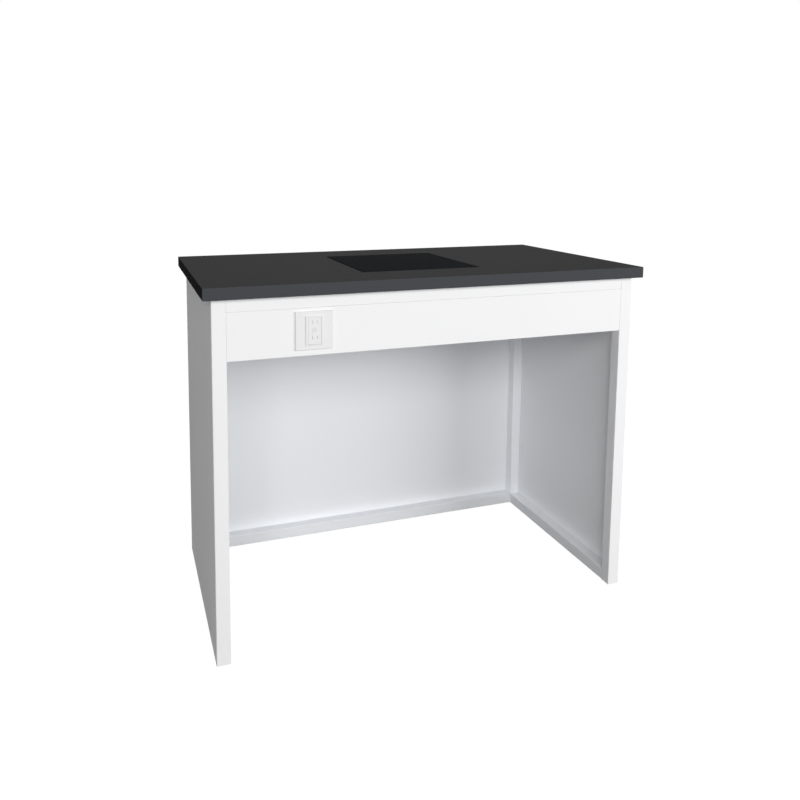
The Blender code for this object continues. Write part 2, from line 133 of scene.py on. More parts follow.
class StageSettings(bpy.types.PropertyGroup):
    camera_place: FloatVectorProperty(
        name="Camera place",
        description="Where the camera stands, in front of the table's left end",
        subtype="TRANSLATION",
        unit="LENGTH",
        default=(-0.7938, -1.8936, 1.2108),
    )
    camera_turn: FloatVectorProperty(
        name="Camera turn",
        description="The camera's tilt and heading",
        subtype="EULER",
        default=(math.radians(83.985), math.radians(-0.102), math.radians(-17.573)),
    )
    lens: FloatProperty(
        name="Lens",
        description="Focal length on a 36 mm sensor",
        unit="CAMERA",
        min=1.0,
        default=31.568,
    )
    lens_shift: FloatVectorProperty(
        name="Lens shift",
        description="Shift that keeps the uprights nearly upright, in shares of the frame",
        size=2,
        default=(0.0798, -0.1968),
    )
    softbox_distance: length_setting(
        "Softbox distance", "How far from the table's middle the three softboxes stand", 5800
    )
    softbox_aim: length_setting(
        "Softbox aim", "How far above the floor's middle the softboxes are aimed", 600
    )
    softbox_size: FloatVectorProperty(
        name="Softbox size",
        description="Width and height of each softbox",
        unit="LENGTH",
        size=2,
        default=(3.6, 2.4),
    )
    left_heading: angle_setting("Left heading", "Left softbox, to the left of the front", 40)
    left_height: length_setting("Left height", "Height of the left softbox", 2000)
    left_power: amount_setting("Left power", "Power of the left softbox in watts", 65.0)
    middle_heading: angle_setting("Middle heading", "Middle softbox, to the left of the front", 12)
    middle_height: length_setting("Middle height", "Height of the middle softbox", 2800)
    middle_power: amount_setting("Middle power", "Power of the middle softbox in watts", 150.0)
    right_heading: angle_setting("Right heading", "Right softbox, to the right of the front", 40)
    right_height: length_setting("Right height", "Height of the right softbox", 1300)
    right_power: amount_setting("Right power", "Power of the right softbox in watts", 176.0)
    rear_heading: angle_setting("Rear heading", "Rear light, to the right of the front", 160)
    rear_height: angle_setting("Rear height", "Rear light, above the horizon", 31)
    rear_strength: amount_setting("Rear strength", "Strength of the light behind the table", 1.63)
    rear_width: angle_setting("Rear width", "How wide the rear light looks from the table", 40)
    ambient: amount_setting("Ambient", "Even light from all round", 0.12)
    floor_glow: amount_setting(
        "Floor glow", "What lifts the floor to white where the camera sees it", 0.975
    )
    floor_size: length_setting("Floor size", "Width of the floor", 60000)
    floor_colour: colour_setting("Floor colour", "Colour of the plain floor", "#4a4a4a")


class FinishSettings(bpy.types.PropertyGroup):
    coat: colour_setting("Powder coat", "White of the steel base", "#f6f6f7")
    coat_thin: colour_setting("Thin coat", "Where the powder coat lies thinner", "#f3f3f4")
    # Painted shade: the white turns cooler deeper into the knee space.
    coat_shade_inside: colour_setting("Inside coat", "Cooler white deep in the knee space", "#f4f6f9")
    resin: colour_setting("Resin", "Charcoal of the worktop", "#3a3a3a")
    resin_grain: colour_setting("Resin grain", "Lighter grains in the worktop", "#404040")
    # Painted sheen: the long edges are lighter and bluer than the top.
    resin_edge_sheen: colour_setting("Resin edge", "The smoothed long edges of the worktop", "#47494d")
    # Painted shade: the worktop's ends are made near black.
    resin_end_shade: colour_setting("Resin end", "The sealed ends of the worktop", "#040405")
    stone: colour_setting("Stone", "Ground colour of the balance slab", "#121416")
    stone_fleck: colour_setting("Stone fleck", "Crystals in the balance slab", "#21262b")
    plastic: colour_setting("Plastic", "White of the outlet", "#eeeeee")
    plastic_dull: colour_setting("Dull plastic", "Texture hollows of the outlet", "#e9e9e9")
    zinc: colour_setting("Zinc", "Bright plated steel", "#c4c7c9")
    zinc_dull: colour_setting("Dull zinc", "Passivated patches of the plating", "#aeb0b0")
    rubber: colour_setting("Rubber", "Isolator and seal rubber", "#232323")
    rubber_bloom: colour_setting("Rubber bloom", "Grey bloom on the rubber", "#2f2f2e")
    nylon: colour_setting("Nylon", "Grey of the cable gland", "#6d6e71")
    nylon_flow: colour_setting("Nylon flow", "Flow marks in the gland", "#77787b")


class HardwareSettings(bpy.types.PropertyGroup):
    thread_pitch: length_setting("Thread pitch", "Pitch of the feet's and bolts' threads", 1.5)
    thread_depth: length_setting("Thread depth", "Depth of those threads", 0.8)
    isolator_plate: length_setting("Isolator plate", "Steel bonded to an isolator's ends", 1.5)
    seal_wall: length_setting("Seal wall", "Rubber round the bore of the cable gland", 2.0)


# Finishes


def add_node(material, kind, settings=None, links=None):
    """Adds a node, sets its sockets or properties by name, and links the sockets that feed it."""
    node = material.node_tree.nodes.new(kind)
    for name, value in (settings or {}).items():
        if isinstance(name, int) or name in node.inputs:
            node.inputs[name].default_value = value
        else:
            setattr(node, name, value)
    for name, socket in (links or {}).items():
        material.node_tree.links.new(socket, node.inputs[name])
    return node


def per(millimetres):
    """Texture scale for a pattern that repeats about once in that length."""
    return 1 / (millimetres * MM)


def start_finish(name):
    """A new material, and the object coordinates that its patterns read."""
    material = bpy.data.materials.new(name)
    material.use_nodes = True
    material.node_tree.nodes.clear()
    place = add_node(material, "ShaderNodeTexCoord").outputs["Object"]
    return material, place


def end_finish(material, settings, colour, roughness, bump):
    shader = add_node(
        material,
        "ShaderNodeBsdfPrincipled",
        settings,
        {"Base Color": colour, "Roughness": roughness, "Normal": bump},
    )
    add_node(material, "ShaderNodeOutputMaterial", links={"Surface": shader.outputs["BSDF"]})
    return material


def noise(material, place, millimetres, **settings):
    """Noise in patches about as wide as that length."""
    pattern = add_node(
        material,
        "ShaderNodeTexNoise",
        {"Scale": per(millimetres)} | settings,
        {"Vector": place},
    )
    return pattern.outputs["Fac"]


def spread(material, value, low, high):
    """Low where the value is zero, and high where it is one."""
    levels = add_node(
        material, "ShaderNodeMapRange", {"To Min": low, "To Max": high}, {"Value": value}
    )
    return levels.outputs["Result"]


def relief(material, height, strength, millimetres):
    """Small bumps of that height."""
    bump = add_node(
        material,
        "ShaderNodeBump",
        {"Strength": strength, "Distance": millimetres * MM},
        {"Height": height},
    )
    return bump.outputs["Normal"]


def two_tone(material, factor, first, second):
    """Mixes a first colour, or a socket that gives it, with a second colour."""
    fed = isinstance(first, bpy.types.NodeSocket)
    mixed = add_node(
        material,
        "ShaderNodeMix",
        {"data_type": "RGBA", 7: (*second, 1.0)} | ({} if fed else {6: (*first, 1.0)}),
        {0: factor} | ({6: first} if fed else {}),
    )
    return mixed.outputs[2]


def beyond(material, place, axis, distance):
    """One where a point is further from the middle along an axis than the distance, else zero."""
    along = add_node(material, "ShaderNodeSeparateXYZ", links={"Vector": place}).outputs[axis]
    outward = add_node(material, "ShaderNodeMath", {"operation": "ABSOLUTE"}, {0: along})
    passed = add_node(
        material,
        "ShaderNodeMath",
        {"operation": "GREATER_THAN", 1: distance},
        {0: outward.outputs[0]},
    )
    return passed.outputs[0]


def knee_shade_depth(material, place):
    """Zero outside the base and at its front, rising to one on the back skin's inner face: where
    the painted cool shade goes.
    """
    back_low, back_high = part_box("back_skin")
    half_sheet = (back_high.y - back_low.y) / 2
    outside = add_node(
        material,
        "ShaderNodeMath",
        {"operation": "MAXIMUM"},
        {
            0: beyond(material, place, "X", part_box("right_end_skin")[1].x - half_sheet),
            1: beyond(material, place, "Y", back_high.y - half_sheet),
        },
    )
    along = add_node(material, "ShaderNodeSeparateXYZ", links={"Vector": place})
    depth = add_node(
        material,
        "ShaderNodeMapRange",
        {"From Min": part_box("apron_panel")[1].y, "From Max": back_low.y},
        {"Value": along.outputs["Y"]},
    )
    inside = add_node(
        material,
        "ShaderNodeMath",
        {"operation": "SUBTRACT", "use_clamp": True},
        {0: depth.outputs["Result"], 1: outside.outputs[0]},
    )
    return inside.outputs[0]


def powder_coat(finish):
    """Polyester powder, sprayed and baked: a satin white, faintly orange-peeled, with painted cool
    shade deep in the knee space.
    """
    material, place = start_finish("white_powder_coat")
    spray = noise(material, place, 240, Detail=3.0)
    # The real peel is about 1 mm across. It is drawn at 3 mm so that it shows.
    peel = noise(material, place, 3, Detail=1.0)
    white = two_tone(material, spray, finish.coat, finish.coat_thin)
    # The white turns cooler deeper in the knee space: painted cool shade.
    return end_finish(
        material,
        {"Specular IOR Level": 0.12},
        two_tone(material, knee_shade_depth(material, place), white, finish.coat_shade_inside),
        spread(material, spray, 0.55, 0.65),
        relief(material, peel, 0.08, 0.1),
    )


def cast_resin(finish):
    """Filled epoxy resin, cast: dull charcoal on top, smooth long edges lightened by a painted
    sheen, ends near black as painted shade.
    """
    material, place = start_finish("black_epoxy_resin")
    # The filler is finer than 0.5 mm. It is drawn at 2 mm so that the top isn't one flat tone.
    grain = noise(material, place, 2, Detail=4.0, Roughness=0.6)
    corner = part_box("worktop")[1]
    # The long edges are smoother, and their colour is lighter and bluer as a painted sheen.
    edge_smooth_and_sheen = beyond(material, place, "Y", corner.y - WORKTOP_SKIN)
    # The ends are made near black as painted shade.
    shaded_end = beyond(material, place, "X", corner.x - WORKTOP_SKIN)
    top = two_tone(material, grain, finish.resin, finish.resin_grain)
    side = two_tone(material, edge_smooth_and_sheen, top, finish.resin_edge_sheen)
    return end_finish(
        material,
        {"Specular IOR Level": 0.015},
        two_tone(material, shaded_end, side, finish.resin_end_shade),
        spread(material, edge_smooth_and_sheen, 0.95, 0.45),
        relief(material, grain, 0.1, 0.05),
    )


def honed_granite(finish):
    """Black granite, sawn and honed: near black, flecked by crystals 2 mm across."""
    material, place = start_finish("black_granite")
    crystals = add_node(material, "ShaderNodeTexVoronoi", {"Scale": per(2)}, {"Vector": place})
    flecks = add_node(
        material,
        "ShaderNodeMapRange",
        {"From Min": 0.55, "From Max": 1.0},
        {"Value": crystals.outputs["Color"]},
    )
    return end_finish(
        material,
        {"Specular IOR Level": 0.005},
        two_tone(material, flecks.outputs["Result"], finish.stone, finish.stone_fleck),
        spread(material, crystals.outputs["Distance"], 0.88, 0.98),
        relief(material, crystals.outputs["Distance"], 0.05, 0.02),
    )


def moulded_plastic(finish):
    """White thermoplastic from a spark-eroded mould: a soft even sheen over a fine texture."""
    material, place = start_finish("white_moulded_plastic")
    spark = noise(material, place, 0.8, Detail=2.0)
    return end_finish(
        material,
        {"Specular IOR Level": 0.2},
        two_tone(material, spark, finish.plastic, finish.plastic_dull),
        spread(material, spark, 0.4, 0.5),
        relief(material, spark, 0.1, 0.03),
    )


def zinc_plate(finish):
    """Bright zinc over rolled steel: cool grey, patched by passivation and lined by the rolls."""
    material, place = start_finish("zinc_plated_steel")
    patches = noise(material, place, 9, Detail=3.0)
    stretch = add_node(
        material, "ShaderNodeMapping", {"Scale": (0.08, 1.0, 1.0)}, {"Vector": place}
    )
    lines = noise(material, stretch.outputs["Vector"], 0.7)
    return end_finish(
        material,
        {"Metallic": 1.0},
        two_tone(material, patches, finish.zinc, finish.zinc_dull),
        spread(material, patches, 0.28, 0.46),
        relief(material, lines, 0.12, 0.02),
    )


def moulded_rubber(finish):
    """Natural rubber, moulded: dull black with a grey bloom."""
    material, place = start_finish("isolator_rubber")
    bloom = noise(material, place, 6, Detail=4.0)
    return end_finish(
        material,
        {"Specular IOR Level": 0.3},
        two_tone(material, bloom, finish.rubber, finish.rubber_bloom),
        spread(material, bloom, 0.68, 0.85),
        relief(material, bloom, 0.15, 0.05),
    )


def moulded_nylon(finish):
    """Grey nylon, moulded: a waxy sheen with faint flow marks."""
    material, place = start_finish("grey_nylon")
    flow = noise(material, place, 8, Detail=2.0, Distortion=1.5)
    return end_finish(
        material,
        {"Specular IOR Level": 0.4},
        two_tone(material, flow, finish.nylon, finish.nylon_flow),
        spread(material, flow, 0.42, 0.55),
        relief(material, flow, 0.08, 0.03),
    )


FINISHES = {
    "white_powder_coat": powder_coat,
    "black_epoxy_resin": cast_resin,
    "black_granite": honed_granite,
    "white_moulded_plastic": moulded_plastic,
    "zinc_plated_steel": zinc_plate,
    "isolator_rubber": moulded_rubber,
    "grey_nylon": moulded_nylon,
}


def finish_for(slot):
    made = bpy.data.materials.get(f"finish_{slot}")
    if made is None:
        made = FINISHES[slot](bpy.context.scene.balance_table_finish)
        made.name = f"finish_{slot}"
    return made


def coat(piece, slot):
    """Gives a piece the finish of a material slot."""
    piece.data.materials.clear()
    piece.data.materials.append(finish_for(slot))


def coat_nodes(nodes, slot):
    for node in nodes:
        coat(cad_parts[node], slot)


# Modelling by hand


def new_piece(name, add, **settings):
    """A new primitive with nothing else selected."""
    bpy.ops.object.select_all(action="DESELECT")
    add(**settings)
    piece = bpy.context.active_object
    piece.name = name
    piece.data.name = name
    return piece


def copy_piece(model, name):
    piece = model.copy()
    piece.data = model.data.copy()
    piece.name = name
    piece.data.name = name
    bpy.context.scene.collection.objects.link(piece)
    return piece


def make_active(piece):
    bpy.ops.object.select_all(action="DESELECT")
    piece.select_set(True)
    bpy.context.view_layer.objects.active = piece


@contextmanager
def editing(piece):
    make_active(piece)
    bpy.ops.object.mode_set(mode="EDIT")
    yield
    bpy.ops.object.mode_set(mode="OBJECT")


def select(piece, wanted, kind="FACE"):
    """In edit mode, selects the faces, edges or points that the test wants."""
    bpy.ops.mesh.select_mode(type=kind)
    bpy.ops.mesh.select_all(action="DESELECT")
    shape = bmesh.from_edit_mesh(piece.data)
    shape.normal_update()
    for part in {"FACE": shape.faces, "EDGE": shape.edges, "VERT": shape.verts}[kind]:
        if wanted(part):
            part.select_set(True)
    bmesh.update_edit_mesh(piece.data)


def round_edges(piece, wanted, width):
    """Rounds the edges that the test wants."""
    with editing(piece):
        select(piece, wanted, "EDGE")
        bpy.ops.mesh.bevel(offset=width, segments=EDGE_SEGMENTS, affect="EDGES")


def turned_piece(name, profile, steps):
    """A point drawn out along a profile of radius and height, then spun about Z and closed."""
    piece = new_piece(name, bpy.ops.mesh.primitive_plane_add, size=MM)
    points = [Vector((radius, 0, height)) for radius, height in profile]
    with editing(piece):
        bpy.ops.mesh.select_mode(type="VERT")
        bpy.ops.mesh.select_all(action="SELECT")
        bpy.ops.mesh.merge(type="CENTER")
        bpy.ops.transform.translate(value=points[0])
        for here, there in zip(points, points[1:]):
            bpy.ops.mesh.extrude_region_move(TRANSFORM_OT_translate={"value": there - here})
        bpy.ops.mesh.select_all(action="SELECT")
        bpy.ops.mesh.spin(steps=steps, angle=FULL_TURN, center=(0, 0, 0), axis=(0, 0, 1))
        bpy.ops.mesh.select_all(action="SELECT")
        bpy.ops.mesh.remove_doubles(threshold=MERGE_DISTANCE)
        bpy.ops.mesh.normals_make_consistent(inside=False)
    return piece


def rings(top, bottom, spacing):
    """Heights from top to bottom, evenly spaced and no further apart than spacing."""
    count = math.ceil((top - bottom) / spacing)
    return [top - (top - bottom) * step / count for step in range(count + 1)]


def cut_thread(piece, radius, depth, pitch, low, high):
    """Presses a screw thread into the rings that lie at the radius between two heights."""
    for point in piece.data.vertices:
        x, y, z = point.co
        if abs(math.hypot(x, y) - radius) < MERGE_DISTANCE and low < z < high:
            turn = (z / pitch - math.atan2(y, x) / FULL_TURN) % 1
            flank = min(1.0, 2 * abs(2 * turn - 1))
            point.co.xy *= 1 - depth * (1 - flank) / radius


def combine(piece, other, operation):
    """Unites another piece with this one, or cuts it away, and removes that other piece."""
    make_active(piece)
    step = piece.modifiers.new(operation, "BOOLEAN")
    step.operation = operation
    step.object = other
    bpy.ops.object.modifier_apply(modifier=step.name)
    bpy.data.objects.remove(other)


def apply_place(piece):
    """Leaves a piece's place, turn and size in its mesh."""
    make_active(piece)
    bpy.ops.object.transform_apply(location=True, rotation=True, scale=True)


def set_in_place(piece, place, axis=(0, 0, 1)):
    """Turns a piece from Z to the axis and moves it."""
    piece.rotation_euler = Vector((0, 0, 1)).rotation_difference(Vector(axis)).to_euler()
    piece.location = place
    apply_place(piece)


def finish_piece(piece, slot, body, *nodes):
    """Shades a piece, gives it its finish, sets it on its body and hides the nodes it stands for.
    """
    make_active(piece)
    bpy.ops.object.shade_smooth_by_angle(angle=SMOOTH_ANGLE)
    coat(piece, slot)
    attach(piece, body)
    if nodes:
        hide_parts(*nodes)


def middle_of(node):
    low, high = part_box(node)
    return (low + high) / 2


def about_axis(node, axis):
    """Radius and height of each point of a turned node, from its own axis and its low end."""
    low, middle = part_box(node)[0], middle_of(node)
    across = [other for other in range(3) if other != axis]
    return [
        (math.hypot(*(v.co[other] - middle[other] for other in across)), v.co[axis] - low[axis])
        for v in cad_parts[node].data.vertices
    ]


def headed_sizes(node, axis):
    """Length, shank radius, head radius and head height of a node with its head at its low end."""
    points = about_axis(node, axis)
    length = max(height for _, height in points)
    shank = max(radius for radius, height in points if height > length - TIP_READING)
    head = max(radius for radius, _ in points)
    head_height = max(height for radius, height in points if radius > (shank + head) / 2)
    return length, shank, head, head_height


# Operators, one for each piece or group of like pieces


class BALANCE_TABLE_OT_stage(bpy.types.Operator):
    """Sets the camera, the soft lights, the plain floor and the white surround"""

    bl_idname = "balance_table.stage"
    bl_label = "Stage"

    def execute(self, context):
        scene = context.scene
        stage = scene.balance_table_stage
        scene.view_settings.view_transform = "Standard"
        self.add_camera(scene, stage)
        softboxes = {
            "left_softbox": (-stage.left_heading, stage.left_height, stage.left_power),
            "middle_softbox": (-stage.middle_heading, stage.middle_height, stage.middle_power),
            "right_softbox": (stage.right_heading, stage.right_height, stage.right_power),
        }
        for name, (heading, height, power) in softboxes.items():
            self.add_softbox(scene, stage, name, heading, height, power)
        self.add_rear_light(scene, stage)
        self.add_surround(scene, stage)
        self.add_floor(stage)
        return {"FINISHED"}

    def add_camera(self, scene, stage):
        data = bpy.data.cameras.new("camera")
        data.lens = stage.lens
        data.shift_x, data.shift_y = stage.lens_shift
        camera = bpy.data.objects.new("camera", data)
        camera.location = stage.camera_place
        camera.rotation_euler = stage.camera_turn
        scene.collection.objects.link(camera)
        scene.camera = camera

    def add_softbox(self, scene, stage, name, heading, height, power):
        """A large light close by, turned from the front to the right by its heading."""
        data = bpy.data.lights.new(name, "AREA")
        data.shape = "RECTANGLE"
        data.size, data.size_y = stage.softbox_size
        data.energy = power
        softbox = bpy.data.objects.new(name, data)
        softbox.location = (
            math.sin(heading) * stage.softbox_distance,
            -math.cos(heading) * stage.softbox_distance,
            height,
        )
        backward = softbox.location - Vector((0, 0, stage.softbox_aim))
        softbox.rotation_euler = backward.to_track_quat("Z", "Y").to_euler()
        softbox.visible_camera = False
        scene.collection.objects.link(softbox)

    def add_rear_light(self, scene, stage):
        """A wide soft light behind the table, which also lights the top."""
        data = bpy.data.lights.new("rear_light", "SUN")
        data.energy = stage.rear_strength
        data.angle = stage.rear_width
        light = bpy.data.objects.new("rear_light", data)
        level = math.cos(stage.rear_height)
        source = (
            math.sin(stage.rear_heading) * level,
            -math.cos(stage.rear_heading) * level,
            math.sin(stage.rear_height),
        )
        light.rotation_euler = Vector(source).to_track_quat("Z", "Y").to_euler()
        scene.collection.objects.link(light)

    def seen_directly(self, tree_owner):
        """One for what the camera sees, mirrored or not, and zero for light that bounces."""
        path = add_node(tree_owner, "ShaderNodeLightPath")
        mirrored = add_node(
            tree_owner,
            "ShaderNodeMath",
            {"operation": "MAXIMUM"},
            {0: path.outputs["Is Camera Ray"], 1: path.outputs["Is Glossy Ray"]},
        )
        seen = add_node(
            tree_owner,
            "ShaderNodeMath",
            {"operation": "MAXIMUM"},
            {0: mirrored.outputs[0], 1: path.outputs["Is Transmission Ray"]},
        )
        return seen.outputs[0]

    def add_surround(self, scene, stage):
        world = bpy.data.worlds.new("surround")
        world.use_nodes = True
        world.node_tree.nodes.clear()
        even, white = (
            add_node(world, "ShaderNodeBackground", {"Color": WHITE, "Strength": strength})
            for strength in (stage.ambient, 1.0)
        )
        shown = add_node(
            world,
            "ShaderNodeMixShader",
            links={
                0: self.seen_directly(world),
                1: even.outputs["Background"],
                2: white.outputs["Background"],
            },
        )
        add_node(world, "ShaderNodeOutputWorld", links={"Surface": shown.outputs["Shader"]})
        scene.world = world

    def add_floor(self, stage):
        floor = new_piece("floor", bpy.ops.mesh.primitive_plane_add, size=stage.floor_size)
        material = bpy.data.materials.new("plain_floor")
        material.use_nodes = True
        material.node_tree.nodes.clear()
        matt = add_node(material, "ShaderNodeBsdfDiffuse", {"Color": (*stage.floor_colour, 1.0)})
        strength = add_node(
            material,
            "ShaderNodeMath",
            {"operation": "MULTIPLY", 1: stage.floor_glow},
            {0: self.seen_directly(material)},
        )
        glow = add_node(
            material,
            "ShaderNodeEmission",
            {"Color": WHITE},
            {"Strength": strength.outputs[0]},
        )
        both = add_node(
            material,
            "ShaderNodeAddShader",
            links={0: matt.outputs["BSDF"], 1: glow.outputs["Emission"]},
        )
        add_node(material, "ShaderNodeOutputMaterial", links={"Surface": both.outputs["Shader"]})
        floor.data.materials.append(material)


class BALANCE_TABLE_OT_steelwork(bpy.types.Operator):
    """Powder-coats the ends, the back, the apron and the rails"""

    bl_idname = "balance_table.steelwork"
    bl_label = "Steel base"

    def execute(self, context):
        coat_nodes(STEELWORK, "white_powder_coat")
        return {"FINISHED"}


class BALANCE_TABLE_OT_worktop(bpy.types.Operator):
    """Finishes the cast resin worktop"""

    bl_idname = "balance_table.worktop"
    bl_label = "Worktop"

    def execute(self, context):
        coat_nodes(["worktop"], "black_epoxy_resin")
        return {"FINISHED"}


class BALANCE_TABLE_OT_slab(bpy.types.Operator):
    """Finishes the honed stone slab that carries the balance"""

    bl_idname = "balance_table.slab"
    bl_label = "Balance slab"

    def execute(self, context):
        coat_nodes(["balance_slab"], "black_granite")
        return {"FINISHED"}


class BALANCE_TABLE_OT_isolators(bpy.types.Operator):
    """Models the waisted rubber isolators under the slab, with their bonded end plates"""

    bl_idname = "balance_table.isolators"
    bl_label = "Isolators"

    EDGE = 1.2 * MM
    WAIST_SHARE = 0.2
    PLATE_EDGE_SHARE = 0.2
    RING_SPACING = 1.4 * MM
    STEPS = 48

    def execute(self, context):
        plate = context.scene.balance_table_hardware.isolator_plate
        low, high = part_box("isolator_front_left")
        radius = (high.x - low.x) / 2
        height = high.z - low.z - 2 * plate
        rubber = self.model_rubber(radius, height)
        steel = self.model_plate(radius, plate)
        for corner in CORNERS:
            node = f"isolator_{corner}"
            centre = middle_of(node)
            body = copy_piece(rubber, f"isolator_rubber_{corner}")
            set_in_place(body, (centre.x, centre.y, low.z + plate))
            finish_piece(body, "isolator_rubber", "base", node)
            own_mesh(body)
            for name, z, rides in (("lower", low.z, "base"), ("upper", high.z - plate, "slab")):
                end = copy_piece(steel, f"isolator_{name}_plate_{corner}")
                set_in_place(end, (centre.x, centre.y, z))
                finish_piece(end, "zinc_plated_steel", rides)
        bpy.data.objects.remove(rubber)
        bpy.data.objects.remove(steel)
        return {"FINISHED"}

    def model_rubber(self, radius, height):
        """Drawn in along its height, and rounded where the rubber meets the plates."""
        edge = radius - self.EDGE
        side = [
            (radius * (1 - self.WAIST_SHARE * math.sin(math.pi * z / height) ** 2), z)
            for z in rings(height - self.EDGE, self.EDGE, self.RING_SPACING)
        ]
        profile = [(0, height), (edge, height), *side, (edge, 0), (0, 0)]
        return turned_piece("isolator_rubber_model", profile, self.STEPS)

    def model_plate(self, radius, thickness):
        plate = new_piece(
            "isolator_plate_model",
            bpy.ops.mesh.primitive_cylinder_add,
            vertices=self.STEPS,
            radius=radius,
            depth=thickness,
            location=(0, 0, thickness / 2),
        )
        round_edges(
            plate,
            lambda edge: abs(edge.verts[0].co.z - edge.verts[1].co.z) < MERGE_DISTANCE,
            thickness * self.PLATE_EDGE_SHARE,
        )
        apply_place(plate)
        return plate


class BALANCE_TABLE_OT_cradle(bpy.types.Operator):
    """Plates the slab's cradle and models its hexagon bolts"""

    bl_idname = "balance_table.cradle"
    bl_label = "Cradle and bolts"

    HEAD_SIDES = 6
    SHANK_STEPS = 32
    CHAMFER = 0.7 * MM

    def execute(self, context):
        coat_nodes(["slab_cradle"], "zinc_plated_steel")
        hardware = context.scene.balance_table_hardware
        bolt = self.model_bolt(hardware)
        for corner in CORNERS:
            node = f"cradle_bolt_{corner}"
            low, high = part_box(node)
            outward = -1 if "left" in corner else 1
            centre = (low + high) / 2
            head_end = low.x if outward > 0 else high.x
            piece = copy_piece(bolt, f"cradle_hex_bolt_{corner}")
            set_in_place(piece, (head_end, centre.y, centre.z), (outward, 0, 0))
            finish_piece(piece, "zinc_plated_steel", "base", node)
        bpy.data.objects.remove(bolt)
        return {"FINISHED"}

    def model_bolt(self, hardware):
        """Hexagon head at the foot of Z, with a threaded shank standing on it."""
        length, shank, head_radius, head_height = headed_sizes("cradle_bolt_front_right", 0)
        pitch = hardware.thread_pitch
        threaded = rings(length - self.CHAMFER, head_height / 2, pitch / RINGS_PER_PITCH)
        profile = [
            (0, length),
            (shank - self.CHAMFER, length),
            *((shank, z) for z in threaded),
            (0, head_height / 2),
        ]
        bolt = turned_piece("cradle_bolt_model", profile, self.SHANK_STEPS)
        cut_thread(
            bolt, shank, hardware.thread_depth, pitch, head_height, length - self.CHAMFER
        )
        head = new_piece(
            "bolt_head_model",
            bpy.ops.mesh.primitive_cylinder_add,
            vertices=self.HEAD_SIDES,
            radius=head_radius,
            depth=head_height,
            location=(0, 0, head_height / 2),
        )
        round_edges(head, lambda edge: all(v.co.z < 0 for v in edge.verts), self.CHAMFER)
        apply_place(head)
        combine(head, bolt, "UNION")
        return head


class BALANCE_TABLE_OT_feet(bpy.types.Operator):
    """Models the levelling feet with their threaded studs, and plates their inserts"""

    bl_idname = "balance_table.feet"
    bl_label = "Levelling feet"

    STEPS = 36
    CHAMFER = 0.8 * MM
    PAD_EDGE = 1.0 * MM

    def execute(self, context):
        coat_nodes([f"foot_insert_{corner}" for corner in CORNERS], "zinc_plated_steel")
        hardware = context.scene.balance_table_hardware
        foot = self.model_foot(hardware)
        for corner in CORNERS:
            node = f"levelling_foot_{corner}"
            centre = middle_of(node)
            piece = copy_piece(foot, f"threaded_foot_{corner}")
            set_in_place(piece, (centre.x, centre.y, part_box(node)[0].z))
            finish_piece(piece, "zinc_plated_steel", f"foot_{corner}", node)
        bpy.data.objects.remove(foot)
        return {"FINISHED"}

    def model_foot(self, hardware):
        top, stud, pad_radius, pad_top = headed_sizes("levelling_foot_front_left", 2)
        pitch = hardware.thread_pitch
        edge = self.PAD_EDGE
        threaded = rings(top - self.CHAMFER, pad_top, pitch / RINGS_PER_PITCH)
        profile = [
            (0, top),
            (stud - self.CHAMFER, top),
            *((stud, z) for z in threaded),
            (pad_radius - edge, pad_top),
            (pad_radius, pad_top - edge),
            (pad_radius, edge),
            (pad_radius - edge, 0),
            (0, 0),
        ]
        foot = turned_piece("levelling_foot_model", profile, self.STEPS)
        cut_thread(
            foot, stud, hardware.thread_depth, pitch, pad_top + pitch, top - self.CHAMFER
        )
        return foot


